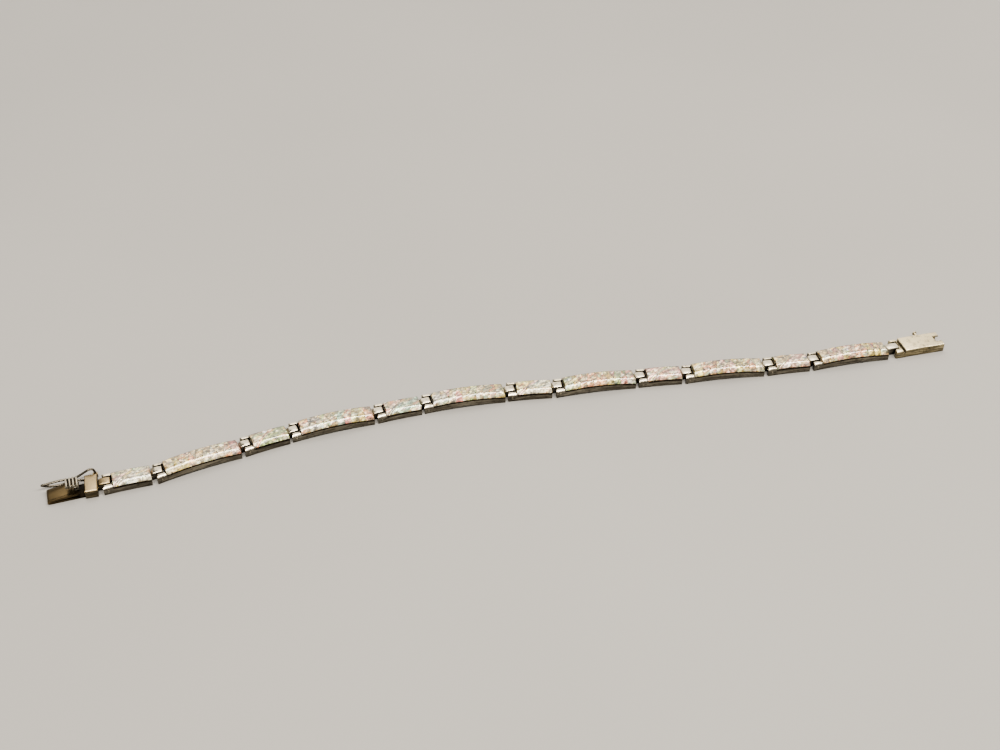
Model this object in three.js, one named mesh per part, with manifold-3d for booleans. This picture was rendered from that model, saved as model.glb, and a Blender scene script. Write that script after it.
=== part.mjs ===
// An inlay link bracelet of silver, lying open and nearly straight on its back: a sprung tongue and an end block,
// twelve hinged links that carry inlaid stones, and the clasp box.
// Units are millimetres, +Z is up and +X runs along the bracelet from the tongue to the box.

import * as THREE from "three";
import { mergeVertices } from "three/addons/utils/BufferGeometryUtils.js";
import Module from "manifold-3d";

const wasm = await Module();
wasm.setup();
const radians = THREE.MathUtils.degToRad;

// ---------------------------------------------------------------- driving dimensions

const SHORT_PITCH = 9.8; // hinge to hinge
const LONG_PITCH = 17.4;
const WIDTH = 4.2;
const FIT = 0.03; // gap between a piece and its seat

// Each link, from the tongue's end: its kind, and the way it lies, in degrees about +Z.
const LINKS = [
  { kind: "short", yaw: 3.5 },
  { kind: "long", yaw: 11.5 },
  { kind: "short", yaw: 10.5 },
  { kind: "long", yaw: 4.5 },
  { kind: "short", yaw: 3 },
  { kind: "long", yaw: -2 },
  { kind: "short", yaw: -7.5 },
  { kind: "long", yaw: -4 },
  { kind: "short", yaw: -7 },
  { kind: "long", yaw: -6 },
  { kind: "short", yaw: -4.5 },
  { kind: "long", yaw: -1.5 },
];
const PIN_SIDES = 10;
const TUBE_SIDES = 14;
const BLOCK_YAW = 0;
const CLASP_YAW = -0.5;

const KINDS = {
  short: { pitch: SHORT_PITCH, rise: 0.2, steps: 3, endBevel: 0.25 },
  long: { pitch: LONG_PITCH, rise: 0.65, steps: 8, endBevel: 0.4 },
};

// The hinge: two ears on the left of a piece hold a pin, and the knuckle of the piece before turns on it.
const HINGE = {
  z: 0.85, // height of the pin's axis
  pin: 0.28,
  rivet: 0.08, // how far the pin's ends stand out
  reach: 1.66, // from the face that carries a knuckle to the pin
  slot: 2.6, // clear width between the ears
  slotEnd: 0.97, // how far past the pin the slot runs
};
// An ear from the side: a block with rounded corners, on the bar that carries it.
const EAR = {
  low: 0.3,
  front: 0.9, // from the pin to its left
  back: 0.9, // and to its right
  top: 1.83,
  corner: 0.44,
  chamfer: 0.28, // on its outer edge
  shoulder: 1.2, // height of the solid behind it
};
// A knuckle from the side: a neck out of a face, and a tall block on it with a round front.
const KNUCKLE = {
  width: 1.72,
  radius: 0.7,
  top: 1.95,
  corner: 0.45,
  bore: 0.45,
  chamfer: 0.14,
  gap: 0.12, // between the block's back and the face
  slope: 0.45, // length of the slope down to its back
  fall: 0.32,
  neckTop: 1.15,
  neckLow: 0.35,
  heel: 0.25, // lowest point, just left of the pin
  root: 0.3, // how far the neck runs into the face
};

// The tray and the stones on it, as a section across the link.
const TRAY = {
  wall: 1.29, // height of the silver side
  rimStep: 0.08, // how far the rim under the stones is set in
  rimTop: 0.12, // height of that rim
  floor: 0.5,
  pocket: 3.1, // clear width of the pocket
  endWall: 0.48,
};
const STONE = {
  left: 1.02, // left face, past the pin
  table: 2.3, // width of the flat top
  bevel: 0.95, // rise and run of the sloped sides
  root: 0.1, // how far the part in the pocket runs up into the cap
};
STONE.seat = TRAY.wall + FIT;
STONE.top = STONE.seat + STONE.bevel;

// The short link's two stones meet at a slanting silver strip.
const DIAGONAL = { near: 0.27, far: 0.67, thick: 0.1, foot: 0.1 };
// The long link's field of small triangles between two plain end stones.
const ZIGZAG = { teeth: 8, pitch: 1.4, line: 0.13, proud: 0.04, depth: 0.2 };

const BLOCK = { reach: 1.8, length: 2.35, width: 4.6, height: 2.0, chamfer: 0.15 };

const TONGUE = {
  yaw: 4, // the way that it stands in the block's slot
  width: 3.5,
  thick: 0.36,
  fold: 0.42, // outer radius of the fold
  foldX: -6.75,
  rest: 0.05, // height of the lower leaf's underside
  shoulderX: -2.5, // where the upper leaf steps down to its tab
  shoulderTop: 1.42,
  shoulderRun: 0.05, // lean of that step
  joggle: 0.4, // how far left of the step the underside drops
  tabX: -1.05,
  tabTop: 1.15,
  anchor: 1.0, // length of the lower leaf inside the block
};
const PRESS = {
  foot: 0.9, // length of the foot on the tab
  neckWidth: 1.45,
  neckThick: 0.35,
  length: 2.3,
  width: 2.6,
  under: 2.68, // height of the plate's underside
  thick: 0.32,
  ribs: 4,
  rib: 0.19, // radius of a rib's round top
};

const CATCH = {
  wire: 0.25, // radius of the wire
  pivotX: 2.0, // from the block's left face
  tube: 0.5,
  bore: 0.3,
  tubeLow: 0.62,
  tubeHigh: 1.5,
  tubeArm: 0.4, // width of the bar that carries the tube
  tubeRoot: 0.3, // how far that bar runs into the block
  lean: 6, // degrees that it is turned in towards the tongue
};
CATCH.pivotY = BLOCK.width / 2 + 0.56; // the tube stands just clear of the block

const CLASP = {
  reach: 2.25, // from the last link's right face to the box's pin
  earFront: 0.55,
  earTop: 1.9,
  earRoot: 0.2, // how far the ears' bars run into the box
  faceX: 1.45, // the box's left face, past the pin
  length: 8.85,
  width: 4.25,
  height: 2.0,
  top: 0.35, // thickness of the top and bottom plates
  side: 0.4,
  back: 0.5,
  chamfer: 0.12,
  notchLength: 1.5,
  notchWidth: 1.7,
};
const PEG = { x: 4.65, z: 1.45, stem: 0.28, root: 0.2, length: 1.4, head: 0.5, headThick: 0.3 };

// ---------------------------------------------------------------- materials

const silver = new THREE.MeshStandardMaterial({ color: 0xcbc7bd, roughness: 0.22, metalness: 1 });
const agedSilver = new THREE.MeshStandardMaterial({ color: 0xbdb49c, roughness: 0.34, metalness: 1 });
const brass = new THREE.MeshStandardMaterial({ color: 0xb09257, roughness: 0.38, metalness: 1 });
const blushStone = new THREE.MeshStandardMaterial({ color: 0xe3c8bd, roughness: 0.14, metalness: 0 });
const paleStone = new THREE.MeshStandardMaterial({ color: 0xdfe0d3, roughness: 0.14, metalness: 0 });
const mosaicStone = new THREE.MeshStandardMaterial({ color: 0xddd2c0, roughness: 0.16, metalness: 0 });

// ---------------------------------------------------------------- making and joining solids

function solid(geometry) {
  const bare = geometry.index ? geometry.toNonIndexed() : geometry;
  const points = new THREE.BufferGeometry().setAttribute("position", bare.getAttribute("position"));
  const merged = mergeVertices(points, 1e-4);
  const mesh = new wasm.Mesh({
    numProp: 3,
    vertProperties: new Float32Array(merged.attributes.position.array),
    triVerts: new Uint32Array(merged.index.array),
  });
  return new wasm.Manifold(mesh);
}

function join(...solids) {
  return solids.reduce((whole, next) => whole.add(next));
}

function node(name, made, material) {
  const cut = made.getMesh();
  const geometry = new THREE.BufferGeometry();
  geometry.setAttribute("position", new THREE.BufferAttribute(cut.vertProperties, 3));
  geometry.setIndex(new THREE.BufferAttribute(cut.triVerts, 1));
  const flat = geometry.toNonIndexed();
  flat.computeVertexNormals();
  const mesh = new THREE.Mesh(flat, material);
  mesh.name = name;
  return mesh;
}

function outline(points) {
  return new THREE.Shape(points.map(([u, v]) => new THREE.Vector2(u, v)));
}

// A section in Y and Z, drawn out along X from one end to the other.
function alongX(section, from, to, steps = 1) {
  const geometry = new THREE.ExtrudeGeometry(section, { depth: to - from, steps, bevelEnabled: false });
  const turn = new THREE.Matrix4().makeBasis(
    new THREE.Vector3(0, 1, 0),
    new THREE.Vector3(0, 0, 1),
    new THREE.Vector3(1, 0, 0),
  );
  return geometry.applyMatrix4(turn).translate(from, 0, 0);
}

// A side view in X and Z, as wide as from one Y to the other, with its edges broken by a chamfer.
function acrossY(profile, from, to, chamfer = 0, curveSegments = 5) {
  const settings = { depth: to - from - 2 * chamfer, curveSegments, bevelEnabled: chamfer > 0 };
  Object.assign(settings, { bevelThickness: chamfer, bevelSize: chamfer, bevelOffset: -chamfer, bevelSegments: 1 });
  const geometry = new THREE.ExtrudeGeometry(profile, settings);
  return geometry.rotateX(Math.PI / 2).translate(0, to - chamfer, 0);
}

// A plan in X and Y, standing from one height to another.
function upright(plan, low, high) {
  const geometry = new THREE.ExtrudeGeometry(plan, { depth: high - low, bevelEnabled: false });
  return geometry.translate(0, 0, low);
}

function box(x0, x1, y0, y1, z0, z1) {
  const geometry = new THREE.BoxGeometry(x1 - x0, y1 - y0, z1 - z0);
  return geometry.translate((x0 + x1) / 2, (y0 + y1) / 2, (z0 + z1) / 2);
}

function rodAlongY(x, z, radius, length, sides) {
  return new THREE.CylinderGeometry(radius, radius, length, sides).translate(x, 0, z);
}

// A solid turned about the Y axis, from pairs of a radius and a place along it.
function turnedAboutY(profile, sides) {
  const points = profile.map(([radius, y]) => new THREE.Vector2(radius, y));
  return solid(new THREE.LatheGeometry(points, sides));
}

// The hump of a link: nothing at its two ends and `rise` in the middle.
function arch(geometry, kind) {
  const { pitch, rise } = KINDS[kind];
  const left = -EAR.front;
  const half = (pitch - HINGE.reach - left) / 2;
  const place = geometry.getAttribute("position");
  for (let i = 0; i < place.count; i += 1) {
    const along = (place.getX(i) - left - half) / half;
    const lift = rise * (1 - Math.min(1, along * along));
    place.setZ(i, place.getZ(i) + lift);
  }
  return geometry;
}

// ---------------------------------------------------------------- hinge parts

// Two ears. Behind them the solid runs on to `toX`, so that it joins the piece it belongs to.
function ears(width, toX, front = EAR.front, top = EAR.top) {
  const { low, back, corner, chamfer, shoulder } = EAR;
  const side = new THREE.Shape();
  side.moveTo(-front, low);
  side.lineTo(-front, top - corner);
  side.quadraticCurveTo(-front, top, corner - front, top);
  side.lineTo(back - corner / 2, top);
  side.quadraticCurveTo(back, top, back, top - corner / 2);
  side.lineTo(back, shoulder);
  side.lineTo(toX, shoulder);
  side.lineTo(toX, low);
  const half = width / 2;
  const section = outline([
    [-half, low],
    [half, low],
    [half, top - chamfer],
    [half - chamfer, top],
    [chamfer - half, top],
    [-half, top - chamfer],
  ]);
  const whole = solid(acrossY(side, -half, half));
  return whole.intersect(solid(alongX(section, -front - 1, toX + 1))).subtract(hingeSlot());
}

// The clear space between two ears.
function hingeSlot() {
  return solid(box(-2, HINGE.slotEnd, -HINGE.slot / 2, HINGE.slot / 2, -1, STONE.top));
}

function pinHole(radius, length) {
  return solid(rodAlongY(0, HINGE.z, radius, length, PIN_SIDES));
}

// The knuckle that a face at `faceX` carries, its eye one reach away. Its top falls a little towards the face.
function knuckle(faceX, reach = HINGE.reach) {
  const { width, radius, top, corner, bore, chamfer, gap, slope, fall, neckTop, neckLow, heel, root } = KNUCKLE;
  const centre = faceX + reach;
  const front = centre + radius;
  const back = faceX + gap;
  const side = new THREE.Shape();
  side.moveTo(faceX - root, neckLow);
  side.lineTo(centre - 0.2, heel);
  side.absarc(centre, HINGE.z, radius, radians(-80), 0, false);
  side.lineTo(front, top - corner);
  side.quadraticCurveTo(front, top, front - corner, top);
  side.lineTo(back + slope, top);
  side.lineTo(back, top - fall);
  side.lineTo(back, neckTop);
  side.lineTo(faceX - root, neckTop);
  const body = solid(acrossY(side, -width / 2, width / 2, chamfer));
  return body.subtract(solid(rodAlongY(centre, HINGE.z, bore, WIDTH, PIN_SIDES)));
}

// A riveted pin, its ends a little proud of the ears.
function hingePin(width) {
  const { pin, rivet, z } = HINGE;
  const half = width / 2;
  const profile = [
    [0, -half - rivet],
    [pin, -half],
    [pin, half],
    [0, half + rivet],
  ];
  return turnedAboutY(profile, PIN_SIDES).translate(0, 0, z);
}

// ---------------------------------------------------------------- links

function linkEnd(kind) {
  return KINDS[kind].pitch - HINGE.reach;
}

function traySection() {
  const half = WIDTH / 2;
  const rim = half - TRAY.rimStep;
  const ledge = TRAY.wall - TRAY.rimTop;
  return outline([
    [-half, 0],
    [half, 0],
    [half, ledge],
    [rim, ledge],
    [rim, TRAY.wall],
    [-rim, TRAY.wall],
    [-rim, ledge],
    [-half, ledge],
  ]);
}

// The stones' section above the rim, a little larger all round by `grow`.
function stoneSection(grow = 0) {
  const half = WIDTH / 2;
  const table = STONE.table / 2;
  const slope = Math.SQRT2 * grow;
  return outline([
    [-half - grow, STONE.seat],
    [half + grow, STONE.seat],
    [half + grow, STONE.seat + slope - grow],
    [table + slope - grow, STONE.top + grow],
    [-table - slope + grow, STONE.top + grow],
    [-half - grow, STONE.seat + slope - grow],
  ]);
}

function band(halfWidth, low, high) {
  return outline([
    [-halfWidth, low],
    [halfWidth, low],
    [halfWidth, high],
    [-halfWidth, high],
  ]);
}

// The stone body of a link before it is divided: a cap over the rim and a root in the pocket.
function stoneBody(kind) {
  const { steps, endBevel } = KINDS[kind];
  const right = linkEnd(kind);
  const cap = solid(arch(alongX(stoneSection(), STONE.left, right - FIT, steps), kind));
  const rootHalf = TRAY.pocket / 2 - FIT;
  const rootLeft = HINGE.slotEnd + TRAY.endWall + FIT;
  const rootSection = band(rootHalf, TRAY.floor + FIT, STONE.seat + STONE.root);
  const root = solid(arch(alongX(rootSection, rootLeft, right - TRAY.endWall - FIT, steps), kind));
  // The right end slopes at 45 degrees. Its cut is drawn larger than it needs to be on the outside.
  const cutEnd = outline([
    [right - endBevel, STONE.top + endBevel],
    [right - endBevel, STONE.top],
    [right + endBevel, STONE.top - 2 * endBevel],
    [right + endBevel, STONE.top + endBevel],
  ]);
  return cap.add(root).subtract(solid(acrossY(cutEnd, -WIDTH, WIDTH)));
}

function tray(kind, reach) {
  const { steps } = KINDS[kind];
  const right = linkEnd(kind);
  const bar = solid(arch(alongX(traySection(), -EAR.front, right, steps), kind));
  const overEars = solid(box(-EAR.front - 1, STONE.left, -WIDTH, WIDTH, HINGE.z, STONE.top));
  const pocketSection = band(TRAY.pocket / 2, TRAY.floor, STONE.top);
  const pocketLeft = HINGE.slotEnd + TRAY.endWall;
  const pocket = solid(arch(alongX(pocketSection, pocketLeft, right - TRAY.endWall, steps), kind));
  const shaped = bar.subtract(overEars).add(ears(WIDTH, STONE.left));
  const open = shaped.subtract(hingeSlot()).subtract(pocket).subtract(pinHole(HINGE.pin + FIT, WIDTH + 1));
  return open.add(knuckle(right, reach));
}

// The slanting line across a short link: its X on the centre line and its run in X for each millimetre of Y.
function diagonal() {
  const length = linkEnd("short") - STONE.left;
  const nearX = STONE.left + DIAGONAL.near * length;
  const farX = STONE.left + DIAGONAL.far * length;
  return { middle: (nearX + farX) / 2, slope: (farX - nearX) / STONE.table };
}

// A plan that fills the link from one X offset of the slanting line to another.
function slantedPlan(from, to) {
  const { middle, slope } = diagonal();
  const reach = WIDTH;
  return outline([
    [middle + from - slope * reach, -reach],
    [middle + to - slope * reach, -reach],
    [middle + to + slope * reach, reach],
    [middle + from + slope * reach, reach],
  ]);
}

function shortStones() {
  const whole = stoneBody("short");
  const { slope } = diagonal();
  const edge = (DIAGONAL.thick / 2 + FIT) * Math.hypot(1, slope);
  const left = solid(upright(slantedPlan(-3 * SHORT_PITCH, -edge), 0, 2 * STONE.top));
  const right = solid(upright(slantedPlan(edge, 3 * SHORT_PITCH), 0, 2 * STONE.top));
  return [whole.intersect(left), whole.intersect(right)];
}

// The silver strip between the two stones, standing on the pocket's floor.
function divider() {
  const { slope } = diagonal();
  const edge = (DIAGONAL.thick / 2) * Math.hypot(1, slope);
  const strip = solid(upright(slantedPlan(-edge, edge), 0, 2 * STONE.top));
  const right = linkEnd("short") - FIT;
  const { steps } = KINDS.short;
  const lowSection = band(WIDTH / 2 - TRAY.rimStep, TRAY.floor - DIAGONAL.foot, STONE.seat + STONE.root / 2);
  const low = solid(arch(alongX(lowSection, STONE.left, right, steps), "short"));
  const high = solid(arch(alongX(stoneSection(), STONE.left, right, steps), "short"));
  return strip.intersect(low.add(high));
}

// The zigzag's corners along the top, from the near edge of the table to the far edge and back.
function zigzagCorners() {
  const { teeth, pitch } = ZIGZAG;
  const middle = (STONE.left + linkEnd("long")) / 2;
  const corners = [];
  for (let i = 0; i <= 2 * teeth; i += 1) {
    const x = middle + (i / 2 - teeth / 2) * pitch;
    corners.push([x, (i % 2 ? 1 : -1) * (STONE.table / 2)]);
  }
  return corners;
}

function stripe([x0, y0], [x1, y1], width) {
  const run = Math.hypot(x1 - x0, y1 - y0);
  const dx = (((y0 - y1) / run) * width) / 2;
  const dy = (((x1 - x0) / run) * width) / 2;
  return outline([
    [x0 + dx, y0 + dy],
    [x0 - dx, y0 - dy],
    [x1 - dx, y1 - dy],
    [x1 + dx, y1 + dy],
  ]);
}

// The field of a long link: its stones with the raised silver lines between them, as one solid. Between the two
// straight lines that run across the whole link, a zigzag runs along the table.
function longField() {
  const { line, proud, depth } = ZIGZAG;
  const corners = zigzagCorners();
  const reach = WIDTH / 2 + 1;
  const lines = corners.slice(1).map((corner, i) => stripe(corners[i], corner, line));
  for (const [x] of [corners[0], corners.at(-1)]) {
    lines.push(stripe([x, -reach], [x, reach], line));
  }
  const standing = lines.map((plan) => solid(upright(plan, STONE.seat - depth, 2 * STONE.top)));
  const shell = arch(alongX(stoneSection(proud), STONE.left, linkEnd("long") - FIT, KINDS.long.steps), "long");
  return stoneBody("long").add(join(...standing).intersect(solid(shell)));
}

// ---------------------------------------------------------------- end block, tongue and catch

// A block with all its long edges broken.
function chamferedBlock(x0, x1, width, height, c) {
  const half = width / 2;
  const section = outline([
    [c - half, 0],
    [half - c, 0],
    [half, c],
    [half, height - c],
    [half - c, height],
    [c - half, height],
    [-half, height - c],
    [-half, c],
  ]);
  const side = outline([
    [x0 + c, -c],
    [x1 - c, -c],
    [x1, c],
    [x1, height - c],
    [x1 - c, height],
    [x0 + c, height],
    [x0, height - c],
    [x0, c],
  ]);
  return solid(alongX(section, x0, x1)).intersect(solid(acrossY(side, -width, width)));
}

function endBlock() {
  const { length, width, height, chamfer } = BLOCK;
  const { rest, thick, anchor, yaw } = TONGUE;
  const slotHalf = TONGUE.width / 2 + FIT;
  const slotBox = box(-1, anchor + FIT, -slotHalf, slotHalf, -1, rest + thick + FIT);
  const slot = solid(slotBox.rotateZ(radians(yaw)));
  const { pivotX, pivotY, tube, bore, tubeArm, tubeRoot, tubeLow, tubeHigh } = CATCH;
  const rod = (radius, tall) => {
    const upRod = new THREE.CylinderGeometry(radius, radius, tall, TUBE_SIDES).rotateX(Math.PI / 2);
    return solid(upRod.translate(pivotX, pivotY, (tubeLow + tubeHigh) / 2));
  };
  const armBox = box(pivotX - tubeArm / 2, pivotX + tubeArm / 2, width / 2 - tubeRoot, pivotY, tubeLow, tubeHigh);
  const body = chamferedBlock(0, length, width, height, chamfer);
  const carried = join(body, solid(armBox), rod(tube, tubeHigh - tubeLow), knuckle(length, BLOCK.reach));
  return carried.subtract(slot).subtract(rod(bore, 2 * height));
}

// The tongue from the side: a strip folded back on itself, stepped down near its free end.
function springTongue() {
  const { width, thick, fold, foldX, rest, anchor, tabX, tabTop } = TONGUE;
  const { shoulderX, shoulderTop, shoulderRun, joggle } = TONGUE;
  const centre = rest + fold;
  const inner = fold - thick;
  const side = new THREE.Shape();
  side.moveTo(anchor, rest);
  side.lineTo(foldX, rest);
  side.absarc(foldX, centre, fold, -Math.PI / 2, Math.PI / 2, true);
  side.lineTo(shoulderX, shoulderTop);
  side.lineTo(shoulderX + shoulderRun, tabTop);
  side.lineTo(tabX, tabTop);
  side.lineTo(tabX, tabTop - thick);
  side.lineTo(shoulderX - joggle, tabTop - thick);
  side.lineTo(foldX, centre + inner);
  side.absarc(foldX, centre, inner, Math.PI / 2, -Math.PI / 2, false);
  side.lineTo(anchor, rest + thick);
  return solid(acrossY(side, -width / 2, width / 2));
}

// The ribbed thumb press on the tongue's tab: a neck, a plate that runs back over the tongue, and its ribs.
function thumbPress() {
  const { foot, neckWidth, neckThick, length, width, under, thick, ribs, rib } = PRESS;
  const right = TONGUE.tabX;
  const low = TONGUE.tabTop + FIT;
  const halfNeck = neckWidth / 2;
  const base = solid(box(right - foot, right, -halfNeck, halfNeck, low, low + neckThick));
  const neck = solid(box(right - neckThick, right, -halfNeck, halfNeck, low, under + thick / 2));
  const plate = solid(box(right - length, right, -width / 2, width / 2, under, under + thick));
  const pitch = (length - 2 * rib) / (ribs - 1);
  const crests = [];
  for (let i = 0; i < ribs; i += 1) {
    crests.push(solid(rodAlongY(right - rib - i * pitch, under + thick, rib, width, 12)));
  }
  return join(base, neck, plate, ...crests);
}

// A round wire along a smooth line through the given points.
function wire(points, radius) {
  const path = new THREE.CatmullRomCurve3(
    points.map(([x, z]) => new THREE.Vector3(x, 0, z)),
    false,
    "centripetal",
  );
  const section = new THREE.Shape().absarc(0, 0, radius, 0, 2 * Math.PI);
  const settings = { extrudePath: path, steps: 2 * points.length, curveSegments: 3, bevelEnabled: false };
  return solid(new THREE.ExtrudeGeometry(section, settings));
}

// The safety catch, a wire bent to a figure of eight: the small loop turns in the block's tube, and the long loop
// goes over the peg on the box. It is drawn in X and Z with its pivot at X = 0.
function safetyCatch() {
  const high = [
    [0, 1.0],
    [0, 1.9],
    [-0.25, 2.52],
    [-0.95, 2.7],
    [-2.0, 2.22],
    [-3.1, 1.7],
    [-4.2, 1.3],
    [-5.3, 0.8],
    [-6.6, 0.55],
    [-8.1, 0.75],
    [-9.5, 1.25],
    [-9.95, 1.6],
  ];
  const low = [
    [0, 1.1],
    [0, 0.65],
    [-0.3, 0.33],
    [-1.0, 0.28],
    [-2.0, 0.5],
    [-3.1, 0.86],
    [-4.2, 1.28],
    [-5.3, 1.68],
    [-6.6, 1.83],
    [-8.1, 1.8],
    [-9.5, 1.72],
    [-9.97, 1.55],
  ];
  return wire(high, CATCH.wire).add(wire(low, CATCH.wire));
}

// ---------------------------------------------------------------- clasp box

function claspBox() {
  const { earFront, earTop, earRoot, faceX, length, width, height, top, side, back, chamfer } = CLASP;
  const { notchLength, notchWidth } = CLASP;
  const right = faceX + length;
  const body = chamferedBlock(faceX, right, width, height, chamfer);
  const half = width / 2 - side;
  const hollow = solid(box(faceX + back, right + 1, -half, half, top, height - top));
  const notch = solid(box(right - notchLength, right + 1, -notchWidth / 2, notchWidth / 2, height / 2, height + 1));
  const bars = solid(box(-earFront, faceX + earRoot, -width / 2, width / 2, 0, HINGE.z));
  const clevis = bars.add(ears(width, faceX + earRoot, earFront, earTop)).subtract(hingeSlot());
  const whole = join(body.subtract(hollow).subtract(notch), clevis, peg(faceX + PEG.x, width / 2));
  return whole.subtract(pinHole(HINGE.pin + FIT, width + 1));
}

// A round-headed peg that stands out of the far side, for the safety catch to snap over.
function peg(x, y) {
  const { z, stem, root, length, head, headThick } = PEG;
  const profile = [
    [0, -root],
    [stem, -root],
    [stem, length - headThick],
    [head * 0.9, length - headThick],
    [head, length - headThick * 0.6],
    [head * 0.75, length - headThick * 0.2],
    [0, length],
  ];
  return turnedAboutY(profile, TUBE_SIDES).translate(x, y, z);
}

// ---------------------------------------------------------------- the bracelet

function placed(at, yaw, ...meshes) {
  const group = new THREE.Group();
  group.position.set(at.x, at.y, 0);
  group.rotation.z = radians(yaw);
  group.add(...meshes);
  return group;
}

function stepFrom(at, yaw, distance) {
  const turn = radians(yaw);
  return new THREE.Vector2(at.x + distance * Math.cos(turn), at.y + distance * Math.sin(turn));
}

const bracelet = new THREE.Group();
const number = (i) => String(i + 1).padStart(2, "0");

const blockAt = stepFrom(new THREE.Vector2(0, 0), BLOCK_YAW, -(BLOCK.length + BLOCK.reach));
const tongue = new THREE.Group();
tongue.add(node("spring_tongue", springTongue(), brass), node("thumb_press", thumbPress(), silver));
tongue.rotation.z = radians(TONGUE.yaw);
const catchMesh = node("safety_catch", safetyCatch(), silver);
catchMesh.position.set(CATCH.pivotX, CATCH.pivotY, 0);
catchMesh.rotation.z = radians(CATCH.lean);
bracelet.add(placed(blockAt, BLOCK_YAW, node("end_block", endBlock(), agedSilver), tongue, catchMesh));

const trays = { short: tray("short").add(divider()), long: tray("long"), last: tray("long", CLASP.reach) };
const [leftStone, rightStone] = shortStones();
const field = longField();
const pin = hingePin(WIDTH);

let hinge = new THREE.Vector2(0, 0);
LINKS.forEach(({ kind, yaw }, i) => {
  const last = i === LINKS.length - 1;
  const made = last ? trays.last : trays[kind];
  const pieces = [node(`link_tray_${number(i)}`, made, silver), node(`hinge_pin_${number(i)}`, pin, silver)];
  if (kind === "short") {
    pieces.push(node(`stone_left_${number(i)}`, leftStone, blushStone));
    pieces.push(node(`stone_right_${number(i)}`, rightStone, paleStone));
  } else {
    pieces.push(node(`stone_field_${number(i)}`, field, mosaicStone));
  }
  bracelet.add(placed(hinge, yaw, ...pieces));
  hinge = stepFrom(hinge, yaw, linkEnd(kind) + (last ? CLASP.reach : HINGE.reach));
});

bracelet.add(
  placed(
    hinge,
    CLASP_YAW,
    node("clasp_box", claspBox(), agedSilver),
    node(`hinge_pin_${number(LINKS.length)}`, hingePin(CLASP.width), silver),
  ),
);

// The origin is the middle of the bracelet's footprint, on the surface that it lies on.
const bounds = new THREE.Box3().setFromObject(bracelet, true);
const centre = bounds.getCenter(new THREE.Vector3());
bracelet.position.set(-centre.x, -centre.y, -bounds.min.z);

export default bracelet;
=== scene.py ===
"""The looks of an inlay link bracelet: silver links set with mother-of-pearl, a brass tongue and a box clasp.

Lengths are millimetres, in the plan of the piece that they belong to, unless a name ends in _M.
"""

import math
import random

import bmesh
import bpy
from mathutils import Matrix, Vector


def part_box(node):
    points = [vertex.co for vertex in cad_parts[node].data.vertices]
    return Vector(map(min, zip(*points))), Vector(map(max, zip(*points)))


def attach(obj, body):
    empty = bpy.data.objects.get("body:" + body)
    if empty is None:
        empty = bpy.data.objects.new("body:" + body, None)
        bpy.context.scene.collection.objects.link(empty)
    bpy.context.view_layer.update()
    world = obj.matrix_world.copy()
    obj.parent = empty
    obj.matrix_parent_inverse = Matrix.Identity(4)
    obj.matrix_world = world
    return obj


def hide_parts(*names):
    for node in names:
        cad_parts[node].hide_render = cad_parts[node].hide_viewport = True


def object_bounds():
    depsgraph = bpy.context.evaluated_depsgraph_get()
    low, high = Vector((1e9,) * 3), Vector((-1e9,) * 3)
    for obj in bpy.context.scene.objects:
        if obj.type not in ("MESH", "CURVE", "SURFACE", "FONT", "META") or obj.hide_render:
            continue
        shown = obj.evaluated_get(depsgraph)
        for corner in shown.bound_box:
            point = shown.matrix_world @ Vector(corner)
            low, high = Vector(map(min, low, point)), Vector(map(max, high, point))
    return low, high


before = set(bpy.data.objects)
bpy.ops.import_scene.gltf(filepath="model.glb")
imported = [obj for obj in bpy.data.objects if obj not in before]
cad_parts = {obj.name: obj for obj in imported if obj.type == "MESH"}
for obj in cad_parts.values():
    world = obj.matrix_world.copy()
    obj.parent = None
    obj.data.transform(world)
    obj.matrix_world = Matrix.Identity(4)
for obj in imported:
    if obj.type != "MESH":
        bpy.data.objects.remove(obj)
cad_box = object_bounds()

MM = 0.001
draw = random.Random(41)

# ---------------------------------------------------------------- sizes of the links, as the solids have them

LINKS = 12
LINK_REACH = 1.66  # from a link's right face to the next pin
BOX_REACH = 2.25  # the same at the clasp box
EAR = 0.9  # from a pin to the left face of the link
WIDTH = 4.2
SEAT = 1.32  # height of the stones' underside at the rim
TABLE = 2.3  # width of the flat top
STONE_TOP = 2.27
STONE_LEFT = 1.02  # left face of the stones, past the pin
FIT = 0.03
RISE = {"short": 0.2, "long": 0.65}  # how far the middle of a link humps up
END_BEVEL = {"short": 0.25, "long": 0.4}

# ---------------------------------------------------------------- details of the inlay, in the looks only

LIP = 0.07  # upright edge under a stone's sloped side
CREST = 0.07  # half width of the polished round between the table and a slope
SWELL = 0.04  # how far the middle of a slope bulges
JOINT = 0.012  # what each stone stands back from a joint's middle
ZIGZAG_PITCH = 1.4
ZIGZAG_TEETH = 8
MOSAIC_LINE = 0.11  # widths of the blackened lines: between the stones of a mosaic,
TABLE_LINE = 0.06  # along the edges of the flat top,
STRIP = 0.14  # and across a short link
PROUD = 0.012  # lift of a line's middle over the stones, while its edges lie just under them
PIT = 0.1  # radius of the black pits where the lines meet the near edge
DIAGONAL_NEAR = 0.27  # where a short link's slanting strip starts and ends, as shares of the stones' length
DIAGONAL_FAR = 0.67
BAND = 0.95  # width of the band of another tint beside that strip
NARROWEST = 0.2  # least width of the stone beside that band
CUTS_DOWN_SLOPE = (0.28, 0.5, 0.72)  # where a slope is cut, out from its crest, so that its bulge shows
CUT_STEP = 0.7  # how often a stone is cut along the link, so that it follows the hump
SHADES = (0.6, 1.1)  # how dark and how light one stone can be against its tint
TINT_STRAY = 0.7  # how far a stone of a mosaic can stray along its link's row of tints
# The black seam under the stones is a painted shadow line.
SEAM_TOP = {"short": 0.14, "long": LIP}  # height of the black seam under the stones, over their seat
WORN_EDGE = 0.05  # rounding of an edge that handling has worn

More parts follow.
